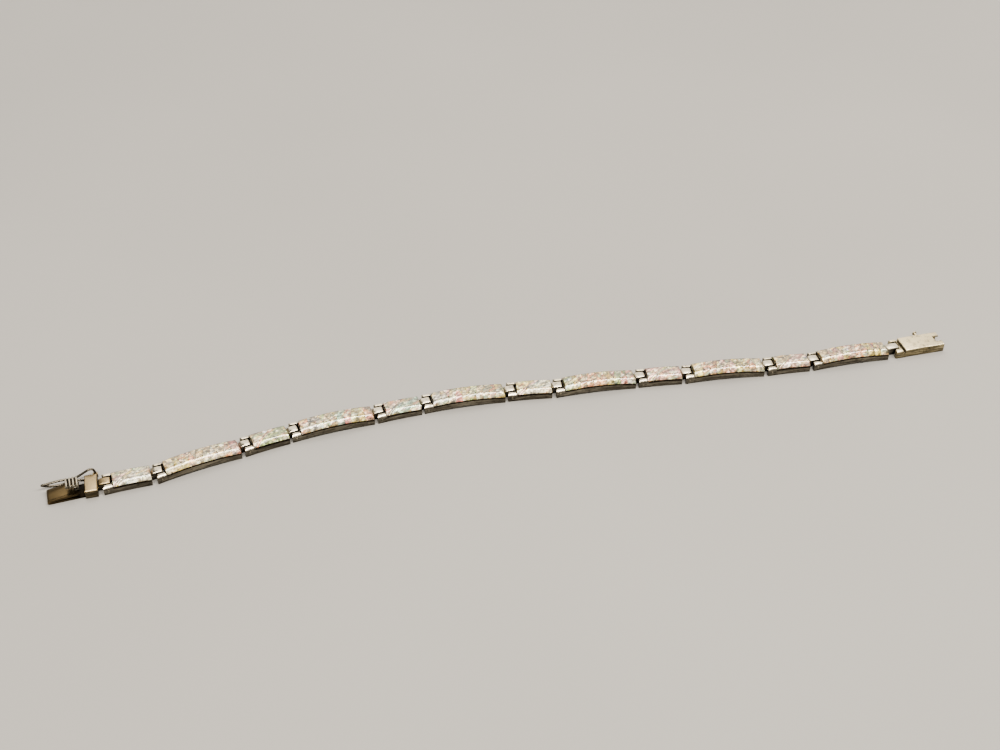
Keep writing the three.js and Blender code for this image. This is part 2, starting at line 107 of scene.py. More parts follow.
# The tints of each link from left to right, by the names in NACRE. A short link has two stones, and the
# tint of the band beside its slanting strip comes between them. A long link's tints run along its mosaic.
TINTS = {
    1: ("blush", "straw", "pearl"),
    2: ("sand", "straw", "peach", "sand", "cloud", "sand", "peach", "rose"),
    3: ("sand", "peach", "sage"),
    4: ("peach", "cloud", "sand", "sage", "mint", "rose", "straw", "peach"),
    5: ("blush", "sand", "mint"),
    6: ("cloud", "sand", "rose", "straw", "sage", "sand", "peach", "straw"),
    7: ("straw", "blush", "pearl"),
    8: ("sage", "straw", "peach", "peach", "straw", "rose", "sage", "cloud"),
    9: ("blush", "straw", "blush"),
    10: ("straw", "peach", "straw", "blush", "sand", "straw", "peach", "sand"),
    11: ("sand", "blush", "blush"),
    12: ("sand", "blush", "straw", "blush", "peach", "straw", "blush", "sand"),
}


def hex_to_linear(code):
    """The linear colour of an sRGB code such as 'ffcc00'."""
    shares = [int(code[i : i + 2], 16) / 255 for i in (0, 2, 4)]
    return tuple(s / 12.92 if s <= 0.04045 else ((s + 0.055) / 1.055) ** 2.4 for s in shares) + (1.0,)


NACRE = {
    "pearl": hex_to_linear("d2c6a8"),
    "cloud": hex_to_linear("a59e90"),
    "sand": hex_to_linear("c2a97c"),
    "straw": hex_to_linear("d6bc5c"),
    "blush": hex_to_linear("da9f8a"),
    "peach": hex_to_linear("dd935f"),
    "rose": hex_to_linear("da8272"),
    "sage": hex_to_linear("a3b068"),
    "mint": hex_to_linear("9dbd9e"),
}
LILAC = hex_to_linear("b9aec6")
MILK = hex_to_linear("efe7d3")

# ---------------------------------------------------------------- places, from the frame


def middle_of(node):
    low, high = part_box(node)
    return (low + high) / 2


def frame_at(point_m, yaw):
    """From a piece's own millimetres to the frame's metres, with the piece standing on the surface."""
    foot = Vector((point_m.x, point_m.y, 0))
    return Matrix.Translation(foot) @ Matrix.Rotation(yaw, 4, "Z") @ Matrix.Scale(MM, 4)


PINS_M = [middle_of(f"hinge_pin_{i:02d}") for i in range(1, LINKS + 2)]


class Link:
    """A link's place, its kind, and the height of its polished surface over its plan."""

    def __init__(self, number):
        start, end = PINS_M[number - 1], PINS_M[number]
        run = end - start
        self.number = number
        self.kind = "short" if number % 2 else "long"
        self.frame = frame_at(start, math.atan2(run.y, run.x))
        self.right = run.length / MM - (BOX_REACH if number == LINKS else LINK_REACH)

    def hump(self, x):
        half = (self.right + EAR) / 2
        along = (x + EAR - half) / half
        return RISE[self.kind] * (1 - min(1, along * along))

    def surface(self, x, y):
        fall = (STONE_TOP - SEAT - LIP) / ((WIDTH - TABLE) / 2)
        past = abs(y) - TABLE / 2
        side = rounded_fall(past) * fall
        end = rounded_fall(x - (self.right - END_BEVEL[self.kind]))
        swell = SWELL * math.sin(math.pi * min(1, max(0, past / ((WIDTH - TABLE) / 2))))
        return STONE_TOP - max(side, end) + swell + self.hump(x)


def rounded_fall(past):
    """How far a 45 degree slope has dropped at a distance past its crest, with the crest rounded over."""
    if past <= -CREST:
        return 0
    if past >= CREST:
        return past
    return (past + CREST) ** 2 / (4 * CREST)


LINK = {number: Link(number) for number in range(1, LINKS + 1)}

CLASP_YAW = math.radians(-0.5)
TONGUE_YAW = math.radians(4)
CATCH_LEAN = math.radians(6)
BLOCK_FRAME = frame_at(Vector((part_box("end_block")[0].x, PINS_M[0].y, 0)), 0)
TONGUE_FRAME = BLOCK_FRAME @ Matrix.Rotation(TONGUE_YAW, 4, "Z")
CLASP_FRAME = frame_at(PINS_M[LINKS], CLASP_YAW)

# ---------------------------------------------------------------- materials


def add_node(tree, kind, inputs=None, stops=None, **settings):
    """Adds a shader node. Inputs are given by name or number, each as a value or as another node's output."""
    node = tree.nodes.new("ShaderNode" + kind)
    for name, value in settings.items():
        setattr(node, name, value)
    for name, value in (inputs or {}).items():
        if isinstance(value, bpy.types.NodeSocket):
            tree.links.new(value, node.inputs[name])
        else:
            node.inputs[name].default_value = value
    if stops:
        marks = node.color_ramp.elements
        while len(marks) < len(stops):
            marks.new(0.5)
        for mark, (place, colour) in zip(marks, stops):
            mark.position = place
            mark.color = colour
    return node


# Numbers of the colour sockets of a Mix node, which share their names with its other sockets.
SHARE, FIRST, SECOND, MIXED = 0, 6, 7, 2


def new_material(name, **constants):
    """A material with one Principled shader, and the values that are the same all over it."""
    material = bpy.data.materials.new(name)
    material.use_nodes = True
    tree = material.node_tree
    shader = tree.nodes["Principled BSDF"]
    for socket, value in constants.items():
        shader.inputs[socket.replace("_", " ")].default_value = value
    return material, tree, shader


def grey(value):
    return (value, value, value, 1.0)


STREAK_MM = (2.0, 0.75)  # the shell's clouds of colour are drawn out on a slant: their length and width
STREAK_SLANT = math.radians(28)
# Cells of random tone, the brightest of them painted glints lighter than white.
GLINT_AND_TONE_MM = 0.5  # real sparks are smaller, and these are drawn coarser to show
WIPED_MM = (2.5, 0.5, 0.32)  # tarnish left in streaks: their length, depth and height


def polished_mother_of_pearl():
    """Mother-of-pearl, cut flat and polished: milky, with slanting clouds of pastel colour and a wet gloss.

    It is partly metallic, because its colours are flashes of the light that its layers face.
    """
    gloss = {
        "Roughness": 0.32,
        "Metallic": 0.35,
        "Coat_Weight": 1.0,
        "Coat_Roughness": 0.06,
        "Coat_IOR": 1.65,
    }
    material, tree, shader = new_material("polished_mother_of_pearl", **gloss)
    where = add_node(tree, "TexCoord").outputs["Object"]
    stone = add_node(tree, "Attribute", attribute_name="stone_tint")
    # Each stone is sawn from another place, so its clouds differ.
    seed = add_node(tree, "Math", {0: stone.outputs["Alpha"], 1: 50.0}, operation="MULTIPLY").outputs[0]
    length, width = (size * MM for size in STREAK_MM)
    lean = {"Vector": where, "Rotation": (0, 0, STREAK_SLANT), "Scale": (length, width, width)}
    slanted = add_node(tree, "Mapping", lean, vector_type="TEXTURE").outputs[0]
    cloud = add_node(
        tree, "TexNoise", {"Vector": slanted, "W": seed, "Scale": 1.0, "Detail": 3.0}, noise_dimensions="4D"
    )
    shares = add_node(tree, "SeparateColor", {0: cloud.outputs["Color"]})
    hues = [
        (0.3, NACRE["rose"]),
        (0.38, NACRE["peach"]),
        (0.45, NACRE["straw"]),
        (0.51, NACRE["pearl"]),
        (0.57, NACRE["sage"]),
        (0.63, NACRE["mint"]),
        (0.7, LILAC),
    ]
    hue = add_node(tree, "ValToRGB", {0: shares.outputs[0]}, stops=hues)
    share = add_node(tree, "MapRange", {0: shares.outputs[1], 1: 0.42, 2: 0.6, 3: 0.0, 4: 0.85})
    tinted = add_node(
        tree,
        "Mix",
        {SHARE: share.outputs[0], FIRST: stone.outputs["Color"], SECOND: hue.outputs[0]},
        data_type="RGBA",
    )
    # Milky wisps lie in the stone, and some places are clearer. Small cells are lighter or darker at random,
    # and the brightest are painted glints, lighter than white.
    milk = add_node(tree, "ValToRGB", {0: shares.outputs[2]}, stops=[(0.5, grey(0)), (0.68, grey(0.65))])
    milky = add_node(
        tree,
        "Mix",
        {SHARE: milk.outputs[0], FIRST: tinted.outputs[MIXED], SECOND: MILK},
        data_type="RGBA",
    )
    glint_and_tone = add_node(tree, "TexVoronoi", {"Vector": where, "Scale": 1 / (GLINT_AND_TONE_MM * MM)})
    chance = add_node(tree, "SeparateColor", {0: glint_and_tone.outputs["Color"]})
    levels = [(0.0, grey(0.25)), (0.18, grey(0.65)), (0.6, grey(0.95)), (0.93, grey(2.3))]
    level = add_node(tree, "ValToRGB", {0: chance.outputs[0]}, stops=levels)
    grain = add_node(tree, "TexNoise", {"Vector": slanted, "Scale": 2.0, "Detail": 2.0, "Roughness": 0.6})
    depth = add_node(tree, "MapRange", {0: grain.outputs[0], 1: 0.35, 2: 0.62, 3: 0.32, 4: 1.3})
    level = add_node(
        tree,
        "Mix",
        {SHARE: 1.0, FIRST: level.outputs[0], SECOND: depth.outputs[0]},
        data_type="RGBA",
        blend_type="MULTIPLY",
    )
    lit = add_node(
        tree,
        "Mix",
        {SHARE: 1.0, FIRST: milky.outputs[MIXED], SECOND: level.outputs[MIXED]},
        data_type="RGBA",
        blend_type="MULTIPLY",
    )
    tree.links.new(lit.outputs[MIXED], shader.inputs["Base Color"])
    # The wheel leaves the surface a little wavy, which breaks up its reflections.
    wave = add_node(tree, "TexNoise", {"Vector": where, "Scale": 1 / (0.9 * MM), "Detail": 1.0})
    bump = add_node(tree, "Bump", {"Height": wave.outputs[0], "Strength": 0.3, "Distance": 0.03 * MM})
    tree.links.new(bump.outputs[0], shader.inputs["Coat Normal"])
    return material


def worn_metal(name, clean, stained, deep, sides, roughness, extra_stain=None):
    """A metal that handling keeps bright on top, and that is darker on its sides and in its recesses: partly
    tarnish, partly painted shade.

    `clean`, `stained` and `deep` are its colours, and `sides` is how much of the stain and painted shade
    upright faces take.
    """
    material, tree, shader = new_material(name, Metallic=1.0)
    place = add_node(tree, "TexCoord")
    where = place.outputs["Object"]
    # Upright faces are darker: partly tarnish, where hands touch least, and partly painted shade for the dark
    # surroundings they mirror.
    facing = add_node(tree, "SeparateXYZ", {0: place.outputs["Normal"]})
    up = add_node(tree, "Math", {0: facing.outputs["Z"]}, operation="ABSOLUTE")
    upright = add_node(tree, "ValToRGB", {0: up.outputs[0]}, stops=[(0.1, grey(sides)), (0.62, grey(0))])
    # Long streaks, from wiping along the bracelet.
    stretch = {0: where, 1: tuple(1 / (size * MM) for size in WIPED_MM)}
    along = add_node(tree, "VectorMath", stretch, operation="MULTIPLY")
    streaks = add_node(tree, "TexNoise", {"Vector": along.outputs[0], "Scale": 1.0, "Detail": 3.0})
    uneven = add_node(tree, "MapRange", {0: streaks.outputs[0], 1: 0.3, 2: 0.7, 3: 0.88, 4: 1.1})
    side_tarnish_and_shade = add_node(
        tree, "Math", {0: upright.outputs[0], 1: uneven.outputs[0]}, operation="MULTIPLY", use_clamp=True
    )
    # Recesses are darkened nearly to black by occlusion: partly tarnish, and partly painted shade.
    open_share = add_node(tree, "AmbientOcclusion", {"Distance": 1.1 * MM}, samples=8)
    deep_to_open = [(0.35, grey(1)), (0.82, grey(0))]
    recess_tarnish_and_shade = add_node(tree, "ValToRGB", {0: open_share.outputs["AO"]}, stops=deep_to_open)
    # Its hue drifts from link to link.
    patches = add_node(tree, "TexNoise", {"Vector": where, "Scale": 1 / (9 * MM), "Detail": 1.0})
    hue = add_node(tree, "ValToRGB", {0: patches.outputs[0]}, stops=[(0.4, stained[0]), (0.6, stained[1])])
    drift = add_node(tree, "ValToRGB", {0: streaks.outputs[0]}, stops=[(0.36, grey(0.1)), (0.64, grey(2.2))])
    drift = add_node(
        tree,
        "Mix",
        {SHARE: 1.0, FIRST: hue.outputs[0], SECOND: drift.outputs[0]},
        data_type="RGBA",
        blend_type="MULTIPLY",
    )
    colour = add_node(
        tree,
        "Mix",
        {SHARE: side_tarnish_and_shade.outputs[0], FIRST: clean, SECOND: drift.outputs[MIXED]},
        data_type="RGBA",
    )
    colour = add_node(
        tree,
        "Mix",
        {SHARE: recess_tarnish_and_shade.outputs[0], FIRST: colour.outputs[MIXED], SECOND: deep},
        data_type="RGBA",
    )
    if extra_stain:
        colour = extra_stain(tree, where, colour.outputs[MIXED], deep)
    tree.links.new(colour.outputs[MIXED], shader.inputs["Base Color"])
    # Fine wear makes the gloss uneven. Real scratches are much finer, and these are drawn coarser to show.
    wear = add_node(tree, "TexNoise", {"Vector": where, "Scale": 1 / (0.45 * MM), "Detail": 4.0})
    low, high = roughness
    dull = add_node(tree, "MapRange", {0: wear.outputs[0], 1: 0.3, 2: 0.7, 3: low, 4: high})
    rough = add_node(tree, "MapRange", {0: side_tarnish_and_shade.outputs[0], 3: 0.0, 4: 0.25})
    total = add_node(tree, "Math", {0: dull.outputs[0], 1: rough.outputs[0]}, operation="ADD")
    tree.links.new(total.outputs[0], shader.inputs["Roughness"])
    bump = add_node(tree, "Bump", {"Height": wear.outputs[0], "Strength": 0.25, "Distance": 0.02 * MM})
    tree.links.new(bump.outputs[0], shader.inputs["Normal"])
    return material


def fine_tarnish(tree, where, colour, deep):
    """Brown freckles and smears, left where polishing missed."""
    spread = add_node(tree, "TexNoise", {"Vector": where, "Scale": 1 / (0.8 * MM), "Detail": 3.0})
    share = add_node(tree, "ValToRGB", {0: spread.outputs[0]}, stops=[(0.52, grey(0)), (0.7, grey(0.5))])
    return add_node(tree, "Mix", {SHARE: share.outputs[0], FIRST: colour, SECOND: deep}, data_type="RGBA")


def polished_sterling():
    """Sterling silver, polished: white and mirror-like on top, grey to olive brown on the sides."""
    stains = (hex_to_linear("454139"), hex_to_linear("565249"))
    return worn_metal(
        "polished_sterling_silver",
        hex_to_linear("e4d8be"),
        stains,
        hex_to_linear("120e0a"),
        sides=1.0,
        roughness=(0.12, 0.26),
        extra_stain=fine_tarnish,
    )


def brushed_sterling():
    """Sterling silver with a brushed face, gone a little yellow: a bright, soft, creamy sheen."""
    stains = (hex_to_linear("746a50"), hex_to_linear("837a60"))
    return worn_metal(
        "brushed_sterling_silver",
        hex_to_linear("fceabc"),
        stains,
        hex_to_linear("17120c"),
        sides=1.0,
        roughness=(0.26, 0.42),
        extra_stain=fine_tarnish,
    )


def handled_sterling():
    """Sterling silver dulled by handling: a warm beige bloom over a soft shine."""
    stains = (hex_to_linear("3d372b"), hex_to_linear("494234"))
    return worn_metal(
        "handled_sterling_silver",
        hex_to_linear("ae9870"),
        stains,
        hex_to_linear("17120c"),
        sides=1.0,
        roughness=(0.26, 0.42),
    )


def tarnished_sterling():
    """Sterling silver wire that has gone dark grey-brown, and is bright only where it catches the light."""
    stains = (hex_to_linear("2a251d"), hex_to_linear("352e25"))
    return worn_metal(
        "tarnished_sterling_wire",
        hex_to_linear("6e675a"),
        stains,
        hex_to_linear("17120c"),
        sides=1.0,
        roughness=(0.16, 0.3),
    )


def rolled_brass():
    """Rolled brass strip, browned with age: golden at its fold, and painted black towards the block, a
    painted shadow of the press over it.
    """

    def press_shadow(tree, where, colour, deep):
        # A painted shadow of the press: the strip goes black from clear of the press to under it.
        along = add_node(tree, "SeparateXYZ", {0: where})
        clear_of_press = BLOCK_FRAME.translation.x - 3.4 * MM
        under_press = BLOCK_FRAME.translation.x - 1.2 * MM
        share = add_node(tree, "MapRange", {0: along.outputs[0], 1: clear_of_press, 2: under_press})
        return add_node(
            tree, "Mix", {SHARE: share.outputs[0], FIRST: colour, SECOND: deep}, data_type="RGBA"
        )

    stains = (hex_to_linear("3c301c"), hex_to_linear("4d3f27"))
    return worn_metal(
        "browned_rolled_brass",
        hex_to_linear("5e4f34"),
        stains,
        hex_to_linear("120d07"),
        sides=0.7,
        roughness=(0.3, 0.45),
        extra_stain=press_shadow,
    )


def oxide_black_and_painted_shade():
    """Silver left black by sulphur, where polishing can't reach, and the same black used as painted shade: a
    nearly black line with a dull shine.
    """
    material, tree, shader = new_material("oxide_black_and_painted_shade", Metallic=1.0, Roughness=0.4)
    where = add_node(tree, "TexCoord").outputs["Object"]
    spread = add_node(tree, "TexNoise", {"Vector": where, "Scale": 1 / (0.5 * MM), "Detail": 2.0})
    stops = [(0.4, hex_to_linear("0e0b08")), (0.72, hex_to_linear("3a2f21"))]
    colour = add_node(tree, "ValToRGB", {0: spread.outputs[0]}, stops=stops)
    tree.links.new(colour.outputs[0], shader.inputs["Base Color"])
    return material


def matt_paper():
    """Plain paper, a pale warm grey."""
    material, tree, shader = new_material("matt_paper", Roughness=0.9)
    where = add_node(tree, "TexCoord").outputs["Object"]
    spread = add_node(tree, "TexNoise", {"Vector": where, "Scale": 9.0, "Detail": 2.0})
    stops = [(0.3, hex_to_linear("aeaba5")), (0.7, hex_to_linear("b3b0aa"))]
    colour = add_node(tree, "ValToRGB", {0: spread.outputs[0]}, stops=stops)
    tree.links.new(colour.outputs[0], shader.inputs["Base Color"])
    return material


nacre = polished_mother_of_pearl()
sterling = polished_sterling()
warm_sterling = handled_sterling()
creamy_sterling = brushed_sterling()
dark_sterling = tarnished_sterling()
brass = rolled_brass()
blackened = oxide_black_and_painted_shade()

# ---------------------------------------------------------------- making pieces

SMOOTH_ANGLE = math.radians(38)
SHARP_ANGLE = math.radians(40)
WIRE_SIDES = 16
WELD = 0.001  # points closer together than this are made one


def piece(name, made, material, stands_for=(), body="bracelet"):
    """Turns a bmesh in metres into a finished piece that rides on a body."""
    bmesh.ops.recalc_face_normals(made, faces=made.faces)
    mesh = bpy.data.meshes.new(name)
    made.to_mesh(mesh)
    made.free()
    mesh.shade_smooth()
    mesh.set_sharp_from_angle(angle=SMOOTH_ANGLE)
    mesh.materials.append(material)
    whole = bpy.data.objects.new(name, mesh)
    bpy.context.scene.collection.objects.link(whole)
    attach(whole, body)
    if stands_for:
        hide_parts(*stands_for)


def merge(whole, part):
    """Adds one bmesh to another and frees it."""
    mesh = bpy.data.meshes.new("part")
    part.to_mesh(mesh)
    part.free()
    whole.from_mesh(mesh)
    bpy.data.meshes.remove(mesh)


def solid_copy(node):
    """A bmesh of a CAD node with its flat faces made whole."""
    made = bmesh.new()
    made.from_mesh(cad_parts[node].data)
    bmesh.ops.remove_doubles(made, verts=made.verts, dist=WELD * MM)
    bmesh.ops.dissolve_limit(made, angle_limit=math.radians(1), verts=made.verts, edges=made.edges)
    return made


def ease_edges(made, width):
    """Rounds the sharp edges as tumbling and wear do. `width` is in the bmesh's own unit."""
    sharp = [e for e in made.edges if e.is_manifold and e.calc_face_angle() > SHARP_ANGLE]
    bmesh.ops.bevel(
        made,
        geom=sharp,
        offset=width,
        segments=2,
        profile=0.5,
        affect="EDGES",
        clamp_overlap=True,
    )
    return made


def drawn_out(outline, low, high):
    """A closed outline of X and Z, drawn out along Y."""
    made = bmesh.new()
    face = made.faces.new([made.verts.new((x, low, z)) for x, z in outline])
    moved = bmesh.ops.extrude_face_region(made, geom=[face])["geom"]
    far_corners = [v for v in moved if isinstance(v, bmesh.types.BMVert)]
    bmesh.ops.translate(made, vec=Vector((0, high - low, 0)), verts=far_corners)
    bmesh.ops.recalc_face_normals(made, faces=made.faces)
    return made


def block_of(x0, x1, y0, y1, z0, z1):
    return drawn_out([(x0, z0), (x1, z0), (x1, z1), (x0, z1)], y0, y1)


def turned(profile, centre, axis, sides=24):
    """A profile of (radius, distance along the axis) turned about an axis through `centre`."""
    made = bmesh.new()
    along = Vector(axis)
    side = along.orthogonal().normalized()
    other = along.cross(side)
    rings = []
    for radius, distance in profile:
        middle = Vector(centre) + along * distance
        if radius == 0:
            rings.append([made.verts.new(middle)])
            continue
        turn = [2 * math.pi * i / sides for i in range(sides)]
        arms = [side * math.cos(a) + other * math.sin(a) for a in turn]
        rings.append([made.verts.new(middle + radius * arm) for arm in arms])
    for lower, upper in zip(rings, rings[1:]):
        for i in range(sides):
            j = (i + 1) % sides
            corners = [lower[i % len(lower)], lower[j % len(lower)]]
            corners += [upper[j % len(upper)], upper[i % len(upper)]]
            made.faces.new(list(dict.fromkeys(corners)))
    return made


def to_frame(made, matrix):
    bmesh.ops.transform(made, matrix=matrix, verts=made.verts)
    return made


# ---------------------------------------------------------------- inlay


def inset_plan(plan, margin):
    """A convex plan, counter-clockwise, with each side moved in by `margin`."""
    sides = []
    for (x0, y0), (x1, y1) in zip(plan, plan[1:] + plan[:1]):
        start, along = Vector((x0, y0)), Vector((x1 - x0, y1 - y0)).normalized()
        sides.append((start + Vector((-along.y, along.x)) * margin, along))
    corners = []
    for (p, u), (q, v) in zip(sides[-1:] + sides[:-1], sides):
        t = (q - p).cross(v) / u.cross(v)
        corners.append(p + u * t)
    return corners


def border_distance(corners, x, y):
    """How far a point inside a convex plan lies from its nearest side."""
    point = Vector((x, y))
    near = math.inf
    for start, end in zip(corners, corners[1:] + corners[:1]):
        along = (end - start).normalized()
        near = min(near, along.cross(point - start))
    return near


# How a top falls off to its edge, as pairs: how far in from the edge, and how far down from the surface.
STONE_EASE = ((0.0, 0.012), (0.012, 0.004), (0.035, 0.0))
LINE_EASE = ((0.0, 0.02), (0.02, 0.0))
STONE_RING = 0.023  # how far in a stone has a second row of points, so that only its edge falls off


def polished_slab(link, corners, ease, ring=0.0, lift=0.0):
    """A closed slab over a convex plan whose top follows the link's surface and falls off to its edge."""
    made = bmesh.new()
    face = made.faces.new([made.verts.new((x, y, 0)) for x, y in corners])
    if ring:
        face.normal_update()
        bmesh.ops.inset_individual(made, faces=[face], thickness=ring, use_even_offset=True)
    low_x, high_x = min(c[0] for c in corners), max(c[0] for c in corners)
    offsets = (-CREST, 0, CREST) + CUTS_DOWN_SLOPE
    cuts = [(0, 1, side * (TABLE / 2 + offset)) for side in (-1, 1) for offset in offsets]
    crest_x = link.right - END_BEVEL[link.kind]
    stops = [low_x + CUT_STEP * (i + 1) for i in range(int((high_x - low_x) / CUT_STEP))]
    cuts += [(1, 0, x) for x in stops + [crest_x - CREST, crest_x, crest_x + CREST]]
    for nx, ny, place in cuts:
        if nx and not low_x + 0.1 < place < high_x - 0.05:
            continue
        cut_across(made, (nx * place, ny * place, 0), (nx, ny, 0))
    bmesh.ops.remove_doubles(made, verts=made.verts, dist=WELD)
    for vert in made.verts:
        x, y, _ = vert.co
        vert.co.z = link.surface(x, y) - fall_at(ease, border_distance(corners, x, y)) + lift
    rim = [e for e in made.edges if e.is_boundary]
    made_rim = bmesh.ops.extrude_edge_only(made, edges=rim)["geom"]
    for vert in made_rim:
        if isinstance(vert, bmesh.types.BMVert):
            vert.co.z = SEAT - 0.02 + link.hump(vert.co.x)
    bottom = [e for e in made_rim if isinstance(e, bmesh.types.BMEdge) and e.is_boundary]
    bmesh.ops.contextual_create(made, geom=bottom)
    bmesh.ops.triangulate(made, faces=[f for f in made.faces if len(f.verts) > 4])
    return made


def cut_across(made, point, normal):
    geometry = list(made.verts) + list(made.edges) + list(made.faces)
    bmesh.ops.bisect_plane(made, geom=geometry, plane_co=point, plane_no=normal)


def fall_at(ease, distance):
    """How far a top has fallen at a distance in from its edge."""
    for (near, high), (far, low) in zip(ease, ease[1:]):
        if distance < far:
            return high + (low - high) * (distance - near) / (far - near)
    return ease[-1][1]


def stone(link, plan, tint):
    """One stone of the inlay, tinted all over."""
    made = polished_slab(link, inset_plan(plan, JOINT), STONE_EASE, ring=STONE_RING)
    layer = made.loops.layers.float_color.new("stone_tint")
    shade = draw.uniform(*SHADES)
    colour = tuple(c * shade for c in NACRE[tint][:3]) + (draw.random(),)
    for face in made.faces:
        for loop in face.loops:
            loop[layer] = colour
    return made


def line_plan(start, end, width):
    (x0, y0), (x1, y1) = start, end
    along = Vector((x1 - x0, y1 - y0)).normalized()
    side = Vector((-along.y, along.x)) * width / 2
    a, b = Vector(start), Vector(end)
    return [a - side, b - side, b + side, a + side]


def dark_lines(name, link, runs, width):
    """Thin tarnished strips in the joints, level with the stones to about a hundredth of a millimetre."""
    whole = bmesh.new()
    for start, end in runs:
        merge(whole, polished_slab(link, line_plan(start, end, width), LINE_EASE, lift=PROUD))
    piece(name, to_frame(whole, link.frame), blackened)


def black_seams(link):
    """Black lines on both sides: a painted shadow where the stones meet the tray, and tarnished joints along
    the edges of the table.
    """
    # The band under the stones is a dark sheet just proud of the tray: a painted shadow.
    low, high = 1.0, SEAT + SEAM_TOP[link.kind]
    back, front = WIDTH / 2 - 0.1, WIDTH / 2 + PROUD
    steps = 12
    whole = bmesh.new()
    for way in (-1, 1):
        rings = []
        for i in range(steps + 1):
            x = STONE_LEFT + 0.02 + (link.right - STONE_LEFT - 0.04) * i / steps
            edge = [(back, low), (front, low), (front, high), (back, high)]
            rings.append([whole.verts.new((x, way * y, z + link.hump(x))) for y, z in edge])
        for ring, after in zip(rings, rings[1:]):
            for k in range(4):
                whole.faces.new([ring[k], ring[k - 1], after[k - 1], after[k]])
        whole.faces.new(rings[0])
        whole.faces.new(rings[-1])
    number = f"{link.number:02d}"
    piece(f"painted_shadow_seam_{number}", to_frame(whole, link.frame), blackened)
    end = link.right - END_BEVEL[link.kind]
    runs = [((STONE_LEFT + 0.05, way * TABLE / 2), (end, way * TABLE / 2)) for way in (-1, 1)]
    dark_lines(f"table_edges_{number}", link, runs, TABLE_LINE)


def short_inlay(link):
    """Two stones that meet at a slanting strip, the left one with a narrow band of another tint beside it."""
    left, right, half = STONE_LEFT, link.right - FIT, WIDTH / 2
    length = link.right - STONE_LEFT
    near, far = left + DIAGONAL_NEAR * length, left + DIAGONAL_FAR * length
    slope = (far - near) / TABLE
    middle = (near + far) / 2
    low, high = middle - slope * half, middle + slope * half
    plans = {
        "left": [(left, -half), (low - BAND, -half), (high - BAND, half), (left, half)],
        "band": [(low - BAND, -half), (low, -half), (high, half), (high - BAND, half)],
        "right": [(low, -half), (right, -half), (right, half), (high, half)],
    }
    if low - BAND < left + NARROWEST:
        plans["left"][1] = (left + NARROWEST, -half)
        plans["band"][0] = (left + NARROWEST, -half)
    number = f"{link.number:02d}"
    tints = dict(zip(plans, TINTS[link.number]))
    left_stones = bmesh.new()
    for part in ("left", "band"):
        merge(left_stones, stone(link, plans[part], tints[part]))
    piece(
        f"nacre_left_{number}",
        to_frame(left_stones, link.frame),
        nacre,
        [f"stone_left_{number}"],
    )
    right_stone = stone(link, plans["right"], tints["right"])
    piece(
        f"nacre_right_{number}",
        to_frame(right_stone, link.frame),
        nacre,
        [f"stone_right_{number}"],
    )
    strip = [((near, -TABLE / 2), (far, TABLE / 2))]
    dark_lines(f"slanting_strip_{number}", link, strip, STRIP)


def long_inlay(link):
    """A mosaic of triangles between two plain end stones. Each triangle goes on down the slope below it."""
    left, right, half, table = STONE_LEFT, link.right - FIT, WIDTH / 2, TABLE / 2
    tints = TINTS[link.number]
    middle = (STONE_LEFT + link.right) / 2
    first = middle - ZIGZAG_TEETH / 2 * ZIGZAG_PITCH
    last = first + ZIGZAG_TEETH * ZIGZAG_PITCH

    def tint_at(x):
        share = (x - left) / (right - left) * len(tints) + draw.uniform(-TINT_STRAY, TINT_STRAY)
        return tints[min(len(tints) - 1, max(0, int(share)))]

    stones = [
        ([(left, -half), (first, -half), (first, half), (left, half)], tints[0]),
        ([(last, -half), (right, -half), (right, half), (last, half)], tints[-1]),
    ]
    half_pitch = ZIGZAG_PITCH / 2
    for i in range(ZIGZAG_TEETH):
        x0, x1 = first + i * ZIGZAG_PITCH, first + (i + 1) * ZIGZAG_PITCH
        plan = [(x0, -half), (x1, -half), (x1, -table), (x0 + half_pitch, table), (x0, -table)]
        stones.append((plan, tint_at(x0)))
        if i:
            plan = [(x0 - half_pitch, table), (x0, -table), (x0 + half_pitch, table)]
            plan += [(x0 + half_pitch, half), (x0 - half_pitch, half)]
            stones.append((plan, tint_at(x0)))
    ends = (
        [(first, -table), (first + half_pitch, table), (first + half_pitch, half), (first, half)],
        [(last, -table), (last, half), (last - half_pitch, half), (last - half_pitch, table)],
    )
    for plan in ends:
        stones.append((plan, tint_at(plan[0][0])))
    number = f"{link.number:02d}"
    whole = bmesh.new()
    for plan, tint in stones:
        merge(whole, stone(link, plan, tint))
    piece(
        f"nacre_mosaic_{number}",
        to_frame(whole, link.frame),
        nacre,
        [f"stone_field_{number}"],
    )
    turns = range(2 * ZIGZAG_TEETH + 1)
    corners = [(first + i * half_pitch, table if i % 2 else -table) for i in turns]
    runs = list(zip(corners, corners[1:])) + [((x, -half), (x, half)) for x in (first, last)]
    dark_lines(f"zigzag_lines_{number}", link, runs, MOSAIC_LINE)
    pits = bmesh.new()
    for x, y in corners[::2]:
        size = PIT * draw.uniform(0.6, 1.25)
        dish = [(0, PROUD * 2), (size * 0.7, PROUD * 2), (size, 0.004), (size, -0.05), (0, -0.05)]
        merge(pits, turned(dish, (x, y + size, link.surface(x, y + size)), (0, 0, 1), sides=12))
    piece(f"joint_pits_{number}", to_frame(pits, link.frame), blackened)


# ---------------------------------------------------------------- trays and pins


def link_tray(link):
    """The silver under a link's stones, with the ears and the knuckle of its hinges."""
    name = f"link_tray_{link.number:02d}"
    made = solid_copy(name)
    # A short link's strip is lowered, because the line that shows there is a piece of its own.
    below_top, drop = 0.35, 0.25
    inverse = link.frame.inverted()
    for vert in made.verts:
        place = inverse @ vert.co
        high = STONE_TOP - below_top + link.hump(place.x) * 0.5
        if link.kind == "short" and place.x < link.right and place.z > high:
            vert.co.z -= drop * MM
    ease_edges(made, WORN_EDGE * MM)
    piece(f"silver_{name}", made, sterling, [name])


